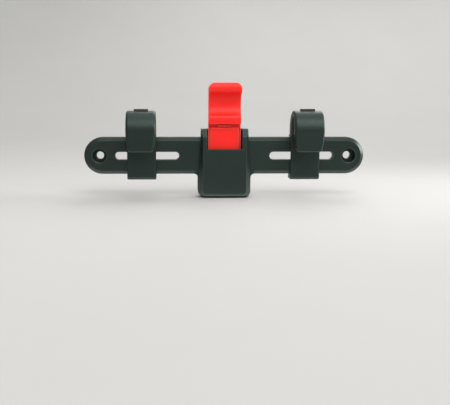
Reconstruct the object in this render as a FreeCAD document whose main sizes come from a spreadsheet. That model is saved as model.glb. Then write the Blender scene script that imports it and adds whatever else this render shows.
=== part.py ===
"""Bike rack adapter: a rail with two adjustable hooks and a sprung centre latch.

Frame: +X along the rail to the viewer's right, +Z up, the rear mounting face at
y = 0 and the front towards -Y. The origin lies midway between the two screw holes,
on the rear face. Depths below are measured from the rear face towards the front.
"""

import FreeCAD, Part
import math
import os

import Sketcher

SIZES = {
    "rail_length": 252.0,
    "rail_height": 33.0,
    "rail_depth": 12.0,
    "rail_bevel": 3.0,
    "rail_back_edge": 0.6,
    "screw_inset": 14.0,
    "screw_hole": 6.8,
    "screw_head_hole": 12.8,
    "screw_floor": 4.0,
    "slot_inset": 14.0,
    "slot_length": 57.4,
    "slot_height": 7.0,
    "channel_depth": 6.0,
    "channel_height": 20.0,
    "channel_over_slot": 10.0,
    "pad_half_width": 23.8,
    "pad_drop": 37.6,
    "pad_corner": 6.2,
    "pad_fillet": 3.0,
    "neck_half_width": 21.0,
    "lock_top": 24.0,
    "pocket_half_width": 15.75,
    "pocket_floor": 5.0,
    "pocket_bottom": 33.0,
    "guide_depth": 3.8,
    "ledge_height": 2.0,
    "core_wall": 2.6,
    "core_depth": 3.0,
    "peg_diameter": 4.4,
    "peg_length": 2.8,
    "housing_depth": 7.5,
    "housing_foot_half_width": 23.5,
    "housing_rim": 3.0,
    "face_half_width": 19.3,
    "face_rise": 3.4,
    "face_corner": 3.4,
    "housing_wall": 3.5,
    "window_sill": 6.2,
    "cheek_slope_height": 7.0,
    "cheek_slope_depth": 5.0,
    "cut_over": 1.0,
    "fixing_x": 18.6,
    "fixing_z": 12.0,
    "fixing_pitch": 39.0,
    "fixing_diameter": 2.9,
    "fixing_gap": 0.2,
    "fixing_head": 5.4,
    "fixing_head_height": 2.0,
    "fixing_bite": 3.6,
    "fixing_recess": 1.1,
    "latch_width": 29.0,
    "latch_gap": 0.3,
    "latch_thickness": 4.0,
    "latch_notch_bottom": 25.2,
    "latch_notch_height": 3.3,
    "latch_notch_depth": 1.8,
    "saddle_wall": 4.4,
    "saddle_height": 44.95,
    "saddle_radius": 11.2,
    "nose_radius": 3.2,
    "nose_angle": 52.0,
    "nose_slope": 20.0,
    "lip_radius": 4.6,
    "lip_angle": 78.0,
    "lip_corner": 6.0,
    "latch_edge": 0.8,
    "latch_wall": 2.2,
    "latch_rib": 2.4,
    "rib_length": 11.5,
    "rib_height": 1.5,
    "rib_proud": 1.2,
    "groove_inset": 1.1,
    "groove_width": 0.6,
    "groove_depth": 0.5,
    "shoe_height": 8.0,
    "shoe_gap": 0.35,
    "stop_gap": 0.3,
    "spring_spacing": 18.0,
    "spring_diameter": 6.6,
    "spring_wire": 0.8,
    "spring_turns": 6.5,
    "spring_gap": 0.1,
    "hook_width": 26.0,
    "left_hook_shift": 4.9,
    "right_hook_shift": 3.1,
    "sleeve_gap": 0.35,
    "sleeve_wall": 2.7,
    "sleeve_back": 0.4,
    "sleeve_foot": 4.7,
    "sleeve_foot_round": 3.0,
    "sleeve_shelf": 1.6,
    "arch_radius": 17.0,
    "arch_height": 23.5,
    "mouth_width": 16.0,
    "roof_height": 27.5,
    "tongue_thickness": 5.95,
    "tongue_tip": 5.0,
    "tongue_corner": 3.0,
    "tongue_sweep": 80.0,
    "hook_edge": 2.2,
    "hook_inner_edge": 1.0,
    "key_length": 14.0,
    "key_gap": 0.2,
    "liner_thickness": 2.0,
    "liner_gap": 0.05,
    "liner_margin": 1.0,
    "liner_rear_length": 8.5,
    "liner_front_length": 7.0,
    "tab_width": 12.6,
    "tab_depth": 4.4,
    "tab_setback": 2.05,
    "tab_root": 1.6,
    "tab_proud": 1.4,
    "window_gap": 0.15,
    "clamp_screw": 4.0,
    "clamp_gap": 0.1,
    "clamp_head": 7.6,
    "clamp_head_height": 2.4,
    "clamp_socket": 2.5,
    "clamp_socket_depth": 1.4,
    "clamp_reach": 6.6,
    "plate_length": 22.0,
    "plate_height": 16.0,
    "plate_thickness": 2.0,
    "plate_corner": 3.0,
    "plate_gap": 0.1,
    "washer_diameter": 7.0,
    "washer_thickness": 0.9,
    "washer_slit": 0.7,
    "insert_diameter": 5.2,
    "insert_length": 7.0,
    "insert_groove": 0.3,
}

SHEET = "Sizes"

# How far apart two lengths may be and still count as the same, and how far an edge
# has to lie from a plane before it counts as clear of it
SAME = 0.01
CLEAR = 0.5

doc = FreeCAD.newDocument("bike_rack_adapter")
sheet = doc.addObject("Spreadsheet::Sheet", SHEET)
for row, (alias, number) in enumerate(SIZES.items(), start=1):
    sheet.set("A%d" % row, alias)
    sheet.set("B%d" % row, str(number))
    sheet.setAlias("B%d" % row, alias)
doc.recompute()


class Size:
    """A number together with the sheet formula that drives it."""

    def __init__(self, value, formula):
        self.value = value
        self.formula = formula

    def __add__(self, other):
        other = as_size(other)
        return Size(self.value + other.value, "(%s + %s)" % (self.formula, other.formula))

    def __sub__(self, other):
        other = as_size(other)
        return Size(self.value - other.value, "(%s - %s)" % (self.formula, other.formula))

    def __mul__(self, other):
        other = as_size(other)
        return Size(self.value * other.value, "(%s * %s)" % (self.formula, other.formula))

    def __truediv__(self, other):
        other = as_size(other)
        return Size(self.value / other.value, "(%s / %s)" % (self.formula, other.formula))

    def __neg__(self):
        return Size(-self.value, "(0 - %s)" % self.formula)


def as_size(number):
    """Wrap a plain number, such as the 2 of a half, as a Size."""
    return number if isinstance(number, Size) else Size(float(number), repr(number))


def size(alias):
    """Read one cell of the sheet as a Size."""
    return Size(float(sheet.get(alias)), "%s.%s" % (SHEET, alias))


def cosine(angle):
    """Cosine of a Size in degrees."""
    return Size(math.cos(math.radians(angle.value)), "cos(%s)" % angle.formula)


def sine(angle):
    """Sine of a Size in degrees."""
    return Size(math.sin(math.radians(angle.value)), "sin(%s)" % angle.formula)


def root(number):
    """Square root of a Size."""
    return Size(math.sqrt(number.value), "sqrt(%s)" % number.formula)


def new_body(label):
    """Start a body whose label names its piece."""
    body = doc.addObject("PartDesign::Body", label)
    body.Label = label
    return body


def origin_feature(body, role):
    """Find an origin plane or axis of a body by its role."""
    return [item for item in body.Origin.OriginFeatures if item.Role == role][0]


def new_sketch(body, name, plane, offset=None):
    """Attach a sketch to an origin plane, moved along the plane's normal by offset."""
    sketch = body.newObject("Sketcher::SketchObject", name)
    sketch.AttachmentSupport = [(origin_feature(body, plane), "")]
    sketch.MapMode = "FlatFace"
    if offset is not None:
        sketch.setExpression("AttachmentOffset.Base.z", offset.formula)
    return sketch


def hold(sketch, kind, geometry, position, target):
    """Hold one coordinate of a sketch point at a sheet formula."""
    index = sketch.addConstraint(Sketcher.Constraint(kind, geometry, position, target.value))
    sketch.setExpression("Constraints[%d]" % index, target.formula)


def hold_point(sketch, geometry, position, u, v):
    """Hold both coordinates of a sketch point; a plain 0 puts it on the axis."""
    if isinstance(u, Size):
        hold(sketch, "DistanceX", geometry, position, u)
    else:
        sketch.addConstraint(Sketcher.Constraint("PointOnObject", geometry, position, -2))
    if isinstance(v, Size):
        hold(sketch, "DistanceY", geometry, position, v)
    else:
        sketch.addConstraint(Sketcher.Constraint("PointOnObject", geometry, position, -1))


def vector(point):
    """Numeric position of a point given as two Sizes."""
    return FreeCAD.Vector(as_size(point[0]).value, as_size(point[1]).value, 0)


def draw_outline(sketch, corners):
    """Draw a closed outline.

    Each corner is (u, v) where a straight side follows, or (u, v, centre, turn) where
    an arc about centre follows, with turn 1 for anticlockwise and -1 for clockwise.
    """
    ends = []
    count = len(corners)
    for index, corner in enumerate(corners):
        start = vector(corner)
        finish = vector(corners[(index + 1) % count])
        if len(corner) == 2:
            ends.append((sketch.addGeometry(Part.LineSegment(start, finish)), 1, 2))
            continue
        middle = vector(corner[2])
        first, last = (start, finish) if corner[3] > 0 else (finish, start)
        circle = Part.Circle(middle, FreeCAD.Vector(0, 0, 1), (start - middle).Length)
        from_angle = math.atan2(first.y - middle.y, first.x - middle.x)
        to_angle = math.atan2(last.y - middle.y, last.x - middle.x)
        if to_angle <= from_angle:
            to_angle += 2 * math.pi
        geometry = sketch.addGeometry(Part.ArcOfCircle(circle, from_angle, to_angle))
        ends.append((geometry, 1, 2) if corner[3] > 0 else (geometry, 2, 1))
    for index, corner in enumerate(corners):
        geometry, start_end, finish_end = ends[index]
        following, following_start, _ = ends[(index + 1) % count]
        sketch.addConstraint(
            Sketcher.Constraint("Coincident", geometry, finish_end, following, following_start)
        )
        hold_point(sketch, geometry, start_end, corner[0], corner[1])
        if len(corner) == 4:
            chord = vector(corners[(index + 1) % count]) - vector(corner)
            centre_u, centre_v = corner[2]
            if abs(chord.y) >= abs(chord.x):
                if isinstance(centre_u, Size):
                    hold(sketch, "DistanceX", geometry, 3, centre_u)
                else:
                    sketch.addConstraint(Sketcher.Constraint("PointOnObject", geometry, 3, -2))
            elif isinstance(centre_v, Size):
                hold(sketch, "DistanceY", geometry, 3, centre_v)
            else:
                sketch.addConstraint(Sketcher.Constraint("PointOnObject", geometry, 3, -1))


def draw_circle(sketch, u, v, diameter):
    """Draw a circle held by its centre and diameter."""
    circle = Part.Circle(vector((u, v)), FreeCAD.Vector(0, 0, 1), diameter.value / 2)
    geometry = sketch.addGeometry(circle)
    hold_point(sketch, geometry, 3, u, v)
    index = sketch.addConstraint(Sketcher.Constraint("Diameter", geometry, diameter.value))
    sketch.setExpression("Constraints[%d]" % index, diameter.formula)


def rectangle(left, right, low, high):
    """Corners of an upright rectangle."""
    return [(left, low), (right, low), (right, high), (left, high)]


def rounded_rectangle(left, right, low, high, radius):
    """Corners of an upright rectangle with rounded corners."""
    return [
        (left + radius, low),
        (right - radius, low, (right - radius, low + radius), 1),
        (right, low + radius),
        (right, high - radius, (right - radius, high - radius), 1),
        (right - radius, high),
        (left + radius, high, (left + radius, high - radius), 1),
        (left, high - radius),
        (left, low + radius, (left + radius, low + radius), 1),
    ]


def octagon(centre_u, centre_v, flat):
    """Corners of a regular octagon with the given distance from centre to side."""
    short = flat * sine(as_size(22.5)) / cosine(as_size(22.5))
    return [
        (centre_u + flat, centre_v + short),
        (centre_u + short, centre_v + flat),
        (centre_u - short, centre_v + flat),
        (centre_u - flat, centre_v + short),
        (centre_u - flat, centre_v - short),
        (centre_u - short, centre_v - flat),
        (centre_u + short, centre_v - flat),
        (centre_u + flat, centre_v - short),
    ]


def stadium(centre_u, half_length, radius):
    """Corners of a level slot shape with full-round ends, centred on v = 0."""
    left = centre_u - half_length + radius
    right = centre_u + half_length - radius
    return [
        (left, -radius),
        (right, -radius, (right, 0), 1),
        (right, radius),
        (left, radius, (left, 0), 1),
    ]


def add_pad(body, sketch, length, symmetric=False, backwards=False):
    """Add material along the sketch normal, or to both sides of the sketch."""
    pad = body.newObject("PartDesign::Pad", "Pad_" + sketch.Name)
    pad.Profile = sketch
    pad.SideType = "Symmetric" if symmetric else "One side"
    pad.Reversed = backwards
    pad.setExpression("Length", length.formula)
    doc.recompute()
    return pad


def add_pocket(body, sketch, length, symmetric=False, forwards=False):
    """Cut material against the sketch normal, along it, or to both sides."""
    before = body.Shape.Volume
    pocket = body.newObject("PartDesign::Pocket", "Pocket_" + sketch.Name)
    pocket.Profile = sketch
    pocket.SideType = "Symmetric" if symmetric else "One side"
    pocket.Reversed = forwards
    pocket.setExpression("Length", length.formula)
    doc.recompute()
    if body.Shape.Volume >= before:
        raise RuntimeError("%s cuts nothing" % pocket.Name)
    return pocket


def edge_names(body, test):
    """Names of the edges of a body whose middle point and edge pass the test."""
    names = []
    for index, edge in enumerate(body.Shape.Edges, start=1):
        if edge.Length < SAME:
            continue
        middle = edge.valueAt((edge.FirstParameter + edge.LastParameter) / 2)
        if test(middle, edge):
            names.append("Edge%d" % index)
    return names


def add_edges(body, kind, name, test, amount):
    """Fillet or chamfer the edges that pass the test."""
    names = edge_names(body, test)
    if not names:
        raise RuntimeError("%s finds no edge" % name)
    base = body.Tip
    feature = body.newObject("PartDesign::" + kind, name)
    feature.Base = (base, names)
    feature.setExpression("Radius" if kind == "Fillet" else "Size", amount.formula)
    doc.recompute()
    return feature


def add_mirror(body, originals, name):
    """Mirror features about the body's own YZ plane."""
    mirror = body.newObject("PartDesign::Mirrored", name)
    mirror.Originals = originals
    mirror.MirrorPlane = (origin_feature(body, "YZ_Plane"), [""])
    body.Tip = mirror
    doc.recompute()
    return mirror


def near(first, second):
    """Whether two lengths agree within a hundredth of a millimetre."""
    return abs(first - second) < SAME


def place(body, x=None, depth=None, z=None):
    """Bind a body's placement to sheet formulas."""
    if x is not None:
        body.setExpression("Placement.Base.x", x.formula)
    if depth is not None:
        body.setExpression("Placement.Base.y", (-depth).formula)
    if z is not None:
        body.setExpression("Placement.Base.z", z.formula)


# Sizes shared by several pieces
rail_half_height = size("rail_height") / 2
rail_depth = size("rail_depth")
screw_reach = size("rail_length") / 2 - size("screw_inset")
slot_centre = screw_reach - size("slot_inset") - size("slot_length") / 2
web_back = size("channel_depth")
lock_top = size("lock_top")
guide_floor = rail_depth - size("guide_depth")
latch_back = guide_floor + size("latch_gap")
latch_front = latch_back + size("latch_thickness")
housing_front = rail_depth + size("housing_depth")
cavity_front = housing_front - size("housing_wall")
pocket_bottom = -size("pocket_bottom")
spring_depth = (size("pocket_floor") + cavity_front) / 2
shoe_top = size("ledge_height") - size("stop_gap")
shoe_bottom = shoe_top - size("shoe_height")
sleeve_front = rail_depth + size("sleeve_gap") + size("sleeve_wall")
sleeve_inside = rail_half_height + size("sleeve_gap")
mouth_back = sleeve_front
mouth_front = mouth_back + size("mouth_width")
roof_radius = size("mouth_width") / 2
roof_centre = mouth_back + roof_radius
arch_front = mouth_front + size("tongue_thickness")
arch_centre = arch_front - size("arch_radius")
leg_back = arch_centre - size("arch_radius")
tab_centre = roof_centre - size("tab_setback")
arch_crest = size("arch_height") + size("arch_radius")
key_back = web_back + size("key_gap")


def build_rail():
    """The moulded bar with its end holes, slots, rear channels and lock pocket."""
    body = new_body("rail")
    bar = new_sketch(body, "bar_outline", "XZ_Plane")
    draw_outline(bar, stadium(as_size(0), size("rail_length") / 2, rail_half_height))
    add_pad(body, bar, rail_depth)
    add_edges(
        body, "Chamfer", "bar_bevel", lambda p, e: near(p.y, -rail_depth.value), size("rail_bevel")
    )

    # Centre pad behind the lock: a neck above the bar and a wider foot below it
    foot = size("pad_half_width")
    neck = size("neck_half_width")
    corner = size("pad_corner")
    drop = -size("pad_drop")
    join = size("pad_fillet")
    under = -rail_half_height + size("rail_bevel")
    outer = foot + join
    pad = new_sketch(body, "pad_outline", "XZ_Plane")
    draw_outline(
        pad,
        [
            (-neck, lock_top),
            (-neck, under),
            (-outer, under),
            (-outer, -rail_half_height, (-outer, -rail_half_height - join), -1),
            (-foot, -rail_half_height - join),
            (-foot, drop + corner, (-foot + corner, drop + corner), 1),
            (-foot + corner, drop),
            (foot - corner, drop, (foot - corner, drop + corner), 1),
            (foot, drop + corner),
            (foot, -rail_half_height - join, (outer, -rail_half_height - join), -1),
            (outer, -rail_half_height),
            (outer, under),
            (neck, under),
            (neck, lock_top),
        ],
    )
    add_pad(body, pad, rail_depth)

    # End screw holes with counterbores from the front
    bores = new_sketch(body, "end_bores", "XZ_Plane", rail_depth)
    draw_circle(bores, -screw_reach, 0, size("screw_head_hole"))
    draw_circle(bores, screw_reach, 0, size("screw_head_hole"))
    add_pocket(body, bores, rail_depth - size("screw_floor"))
    holes = new_sketch(body, "end_holes", "XZ_Plane", rail_depth)
    draw_circle(holes, -screw_reach, 0, size("screw_hole"))
    draw_circle(holes, screw_reach, 0, size("screw_hole"))
    add_pocket(body, holes, rail_depth)

    # Adjusting slots, each with a wider channel behind it for the clamp plate
    slots = new_sketch(body, "slots", "XZ_Plane", rail_depth)
    for centre in (-slot_centre, slot_centre):
        draw_outline(slots, stadium(centre, size("slot_length") / 2, size("slot_height") / 2))
    add_pocket(body, slots, rail_depth)
    channel_half = size("slot_length") / 2 + size("channel_over_slot") / 2
    channels = new_sketch(body, "rear_channels", "XZ_Plane")
    for centre in (-slot_centre, slot_centre):
        draw_outline(
            channels,
            rounded_rectangle(
                centre - channel_half,
                centre + channel_half,
                -size("channel_height") / 2,
                size("channel_height") / 2,
                size("plate_corner"),
            ),
        )
    add_pocket(body, channels, web_back, forwards=True)

    # Lock pocket: deep below the ledge for the shoe and springs, shallow above as a guide
    half = size("pocket_half_width")
    well = new_sketch(body, "spring_well", "XZ_Plane", rail_depth)
    draw_outline(well, rectangle(-half, half, pocket_bottom, size("ledge_height")))
    add_pocket(body, well, rail_depth - size("pocket_floor"))
    guide = new_sketch(body, "latch_guide", "XZ_Plane", rail_depth)
    guide_top = lock_top + size("cut_over")
    draw_outline(guide, rectangle(-half, half, size("ledge_height") / 2, guide_top))
    add_pocket(body, guide, size("guide_depth"))

    # Spring pegs on the floor of the well
    pegs = new_sketch(body, "spring_pegs", "XY_Plane", pocket_bottom)
    draw_circle(pegs, -size("spring_spacing") / 2, -spring_depth, size("peg_diameter"))
    draw_circle(pegs, size("spring_spacing") / 2, -spring_depth, size("peg_diameter"))
    add_pad(body, pegs, size("peg_length"))

    # Clearance holes for the housing screws, counterbored from the rear
    fixing_hole = size("fixing_diameter") + size("fixing_gap") * 2
    fixings = new_sketch(body, "fixing_holes", "XZ_Plane", rail_depth)
    sinks = new_sketch(body, "fixing_sinks", "XZ_Plane")
    for x in (-size("fixing_x"), size("fixing_x")):
        for z in (size("fixing_z"), size("fixing_z") - size("fixing_pitch")):
            draw_circle(fixings, x, z, fixing_hole)
            draw_circle(sinks, x, z, size("fixing_head") + size("fixing_gap") * 2)
    add_pocket(body, fixings, rail_depth)
    add_pocket(
        body, sinks, size("fixing_head_height") + size("fixing_gap") * 2, forwards=True
    )

    # Cores in the rear of the foot, with ribs between them
    wall = size("core_wall")
    cores = new_sketch(body, "rear_cores", "XZ_Plane")
    core_reach = size("fixing_x") - size("fixing_head") / 2 - wall
    core_top = size("ledge_height")
    core_low = -rail_half_height
    core_foot = drop + wall + wall
    for left, right in ((-core_reach, -wall / 2), (wall / 2, core_reach)):
        draw_outline(cores, rectangle(left, right, core_low + wall / 2, core_top))
        draw_outline(cores, rectangle(left, right, core_foot, core_low - wall / 2))
    add_pocket(body, cores, size("core_depth"), forwards=True)

    add_edges(
        body,
        "Chamfer",
        "rear_edge",
        lambda p, e: near(p.y, 0) and is_outer_edge(p),
        size("rail_back_edge"),
    )
    return body


def is_outer_edge(point):
    """Whether a rear edge point lies on the long straight top or on a round end of the bar."""
    beyond = abs(point.x) - (size("rail_length").value - size("rail_height").value) / 2
    high = rail_half_height.value
    if beyond > 0:
        return near(math.hypot(beyond, point.z), high)
    return near(abs(point.z), high)


def cover_outline(top, foot, low, corner):
    """Corners of the cover's outline: straight top, drafted sides and a rounded foot."""
    return [
        (-top, lock_top),
        (-foot, low + corner, (-foot + corner, low + corner), 1),
        (-foot + corner, low),
        (foot - corner, low, (foot - corner, low + corner), 1),
        (foot, low + corner),
        (top, lock_top),
    ]


def build_housing():
    """The front cover of the lock, with its window open at the top."""
    body = new_body("lock_housing")
    top = size("neck_half_width")
    foot = size("housing_foot_half_width")
    corner = size("pad_corner")
    low = -size("pad_drop")
    rim_front = rail_depth + size("housing_rim")
    rim = new_sketch(body, "rim_outline", "XZ_Plane", rail_depth)
    draw_outline(rim, cover_outline(top, foot, low, corner))
    add_pad(body, rim, size("housing_rim"))

    # Slopes from the rim to a narrower front face
    base = new_sketch(body, "slope_base", "XZ_Plane", rim_front)
    draw_outline(base, cover_outline(top, foot, low, corner))
    face = new_sketch(body, "face_outline", "XZ_Plane", housing_front)
    face_half = size("face_half_width")
    face_low = low + size("face_rise")
    draw_outline(face, cover_outline(face_half, face_half, face_low, size("face_corner")))
    doc.recompute()
    slopes = body.newObject("PartDesign::AdditiveLoft", "face_slopes")
    slopes.Profile = base
    slopes.Sections = [face]
    slopes.Ruled = True
    doc.recompute()

    # Slope that takes the top of the cheeks back
    slope = new_sketch(body, "cheek_slope", "YZ_Plane")
    over = size("cut_over")
    draw_outline(
        slope,
        [
            (-housing_front - over, lock_top - size("cheek_slope_height") - over),
            (-housing_front, lock_top - size("cheek_slope_height")),
            (-housing_front + size("cheek_slope_depth"), lock_top),
            (-housing_front + size("cheek_slope_depth"), lock_top + over),
            (-housing_front - over, lock_top + over),
        ],
    )
    add_pocket(body, slope, (foot + over) * 2, symmetric=True)

    # Well for the shoe and springs, guide above it, and the window through the front
    half = size("pocket_half_width")
    well = new_sketch(body, "spring_well_front", "XZ_Plane", rail_depth)
    draw_outline(well, rectangle(-half, half, pocket_bottom, size("ledge_height")))
    add_pocket(body, well, size("housing_depth") - size("housing_wall"), forwards=True)
    guide_front = latch_front + size("shoe_gap")
    guide = new_sketch(body, "latch_guide_front", "XZ_Plane", rail_depth)
    draw_outline(guide, rectangle(-half, half, size("ledge_height") / 2, lock_top + over))
    add_pocket(body, guide, guide_front - rail_depth, forwards=True)
    window = new_sketch(body, "window", "XZ_Plane", rail_depth)
    draw_outline(window, rectangle(-half, half, size("window_sill"), lock_top + over))
    add_pocket(body, window, size("housing_depth"), forwards=True)

    # Pilot holes for the housing screws
    pilots = new_sketch(body, "pilot_holes", "XZ_Plane", rail_depth)
    for x in (-size("fixing_x"), size("fixing_x")):
        for z in (size("fixing_z"), size("fixing_z") - size("fixing_pitch")):
            draw_circle(pilots, x, z, size("fixing_diameter"))
    add_pocket(body, pilots, size("fixing_bite") + size("fixing_gap") * 2, forwards=True)
    return body


def build_housing_screws():
    """Four pan-head screws from the rear, each with a square drive recess."""
    body = new_body("housing_screws")
    head_back = size("fixing_gap")
    head_front = head_back + size("fixing_head_height")
    x = size("fixing_x")
    z = size("fixing_z")
    upper = (x, z)
    lower = (x, z - size("fixing_pitch"))
    head = new_sketch(body, "heads", "XZ_Plane", head_back)
    shank = new_sketch(body, "shanks", "XZ_Plane", head_back)
    drive = new_sketch(body, "drives", "XZ_Plane", head_back)
    half = size("fixing_recess")
    for u, v in (upper, lower, (-x, z), (-x, z - size("fixing_pitch"))):
        draw_circle(head, u, v, size("fixing_head"))
        draw_circle(shank, u, v, size("fixing_diameter"))
        draw_outline(drive, rectangle(u - half, u + half, v - half, v + half))
    add_pad(body, head, head_front - head_back)
    add_pad(body, shank, rail_depth + size("fixing_bite") - head_back)
    add_pocket(body, drive, half, forwards=True)
    return body


def build_latch():
    """The red slider: lip, saddle, nose, notch, plate and the shoe on the springs."""
    body = new_body("latch")
    back = latch_back
    front = latch_front
    saddle_radius = size("saddle_radius")
    saddle = (back + size("saddle_wall") + saddle_radius, size("saddle_height"))
    nose_reach = saddle_radius + size("nose_radius")
    nose = (
        saddle[0] - nose_reach * cosine(size("nose_angle")),
        saddle[1] - nose_reach * sine(size("nose_angle")),
    )
    lip_reach = saddle_radius + size("lip_radius")
    lip = (
        saddle[0] - lip_reach * cosine(size("lip_angle")),
        saddle[1] + lip_reach * sine(size("lip_angle")),
    )
    nose_touch = (
        saddle[0] - saddle_radius * cosine(size("nose_angle")),
        saddle[1] - saddle_radius * sine(size("nose_angle")),
    )
    lip_touch = (
        saddle[0] - saddle_radius * cosine(size("lip_angle")),
        saddle[1] + saddle_radius * sine(size("lip_angle")),
    )
    nose_front = (
        nose[0] + size("nose_radius") * cosine(size("nose_slope")),
        nose[1] - size("nose_radius") * sine(size("nose_slope")),
    )
    nose_under = size("latch_notch_bottom") + size("latch_notch_height")
    nose_fall = sine(size("nose_slope")) / cosine(size("nose_slope"))
    nose_foot = nose_front[0] - (nose_front[1] - nose_under) * nose_fall
    lip_top = lip[1] + size("lip_radius")
    notch = front - size("latch_notch_depth")
    low = shoe_bottom + size("shoe_height") / 4
    profile = new_sketch(body, "side_profile", "YZ_Plane")
    draw_outline(
        profile,
        [
            (-back, low),
            (-back, lip_top),
            (-lip[0], lip_top, (-lip[0], lip[1]), 1),
            (-lip_touch[0], lip_touch[1], (-saddle[0], saddle[1]), -1),
            (-nose_touch[0], nose_touch[1], (-nose[0], nose[1]), 1),
            (-nose_front[0], nose_front[1]),
            (-nose_foot, nose_under),
            (-notch, nose_under),
            (-notch, size("latch_notch_bottom")),
            (-front, size("latch_notch_bottom")),
            (-front, low),
        ],
    )
    add_pad(body, profile, size("latch_width"), symmetric=True)

    # Soft edges down both sides of the lip, saddle and nose
    half = size("latch_width") / 2

    def is_side_edge(point, edge):
        on_side = near(abs(point.x), half.value)
        above = point.z > nose_under.value + CLEAR
        return on_side and above and point.y < -front.value + CLEAR

    add_edges(body, "Fillet", "finger_edges", is_side_edge, size("latch_edge"))

    # Rounded upper corners of the lip, seen from the front
    radius = size("lip_corner")
    corners = new_sketch(body, "lip_corners", "XZ_Plane")
    over = size("cut_over")
    draw_outline(
        corners,
        [
            (half, lip_top - radius, (half - radius, lip_top - radius), 1),
            (half - radius, lip_top),
            (half - radius, lip_top + over),
            (half + over, lip_top + over),
            (half + over, lip_top - radius),
        ],
    )
    corner_cut = add_pocket(body, corners, lip[0] * 2, forwards=True)
    add_mirror(body, [corner_cut], "lip_corner_mirror")

    # Shoe that stands on the springs and stops under the ledge
    shoe_back = size("pocket_floor") + size("shoe_gap") * 2
    shoe_front = cavity_front - size("shoe_gap") * 2
    shoe_half = size("pocket_half_width") - size("shoe_gap")
    shoe = new_sketch(body, "shoe", "XZ_Plane", shoe_back)
    draw_outline(shoe, rectangle(-shoe_half, shoe_half, shoe_bottom, shoe_top))
    add_pad(body, shoe, shoe_front - shoe_back)
    pegs = new_sketch(body, "shoe_pegs", "XY_Plane", shoe_bottom)
    draw_circle(pegs, -size("spring_spacing") / 2, -spring_depth, size("peg_diameter"))
    draw_circle(pegs, size("spring_spacing") / 2, -spring_depth, size("peg_diameter"))
    add_pad(body, pegs, size("peg_length"), backwards=True)

    # Small rib across the notch at the foot of the nose
    rib_back = back + over
    rib_low = size("latch_notch_bottom") + size("rib_height") / 2
    rib_half = size("rib_length") / 2
    rib = new_sketch(body, "notch_rib", "XZ_Plane", rib_back)
    draw_outline(rib, rectangle(-rib_half, rib_half, rib_low, rib_low + size("rib_height")))
    add_pad(body, rib, notch + size("rib_proud") - rib_back)

    # Grooves down both sides of the plate
    groove_out = half - size("groove_inset") + size("groove_width") / 2
    groove_in = groove_out - size("groove_width")
    grooves = new_sketch(body, "plate_grooves", "XZ_Plane", front)
    for left, right in ((-groove_out, -groove_in), (groove_in, groove_out)):
        draw_outline(grooves, rectangle(left, right, shoe_top, nose_under))
    add_pocket(body, grooves, size("groove_depth"))

    # Cores behind the lip, one each side of a middle rib
    wall = size("latch_wall")
    bore = size("lip_radius") - wall
    core = new_sketch(body, "lip_core", "YZ_Plane", size("latch_rib") / 2)
    draw_outline(
        core,
        [
            (-back + over, lip[1] - bore),
            (-back + over, lip[1] + bore),
            (-lip[0], lip[1] + bore, (-lip[0], lip[1]), 1),
            (-lip[0], lip[1] - bore),
        ],
    )
    core_cut = add_pocket(
        body, core, half - wall - wall - size("latch_rib") / 2, forwards=True
    )
    add_mirror(body, [core_cut], "lip_core_mirror")
    return body


def build_spring(label, side):
    """A compression spring between the floor of the well and the shoe."""
    body = new_body(label)
    wire = size("spring_wire")
    height = shoe_bottom - pocket_bottom - size("spring_gap") * 2 - wire
    section = new_sketch(body, "wire_section_" + label, "XZ_Plane")
    draw_outline(section, octagon((size("spring_diameter") - wire) / 2, wire / 2, wire / 2))
    doc.recompute()
    helix = body.newObject("PartDesign::AdditiveHelix", "coil_" + label)
    helix.Profile = section
    helix.ReferenceAxis = (section, ["V_Axis"])
    helix.Mode = "height-turns-angle"
    helix.setExpression("Height", height.formula)
    helix.setExpression("Turns", size("spring_turns").formula)
    doc.recompute()
    place(
        body,
        x=size("spring_spacing") / 2 * side,
        depth=spring_depth,
        z=pocket_bottom + size("spring_gap"),
    )
    return body


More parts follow.
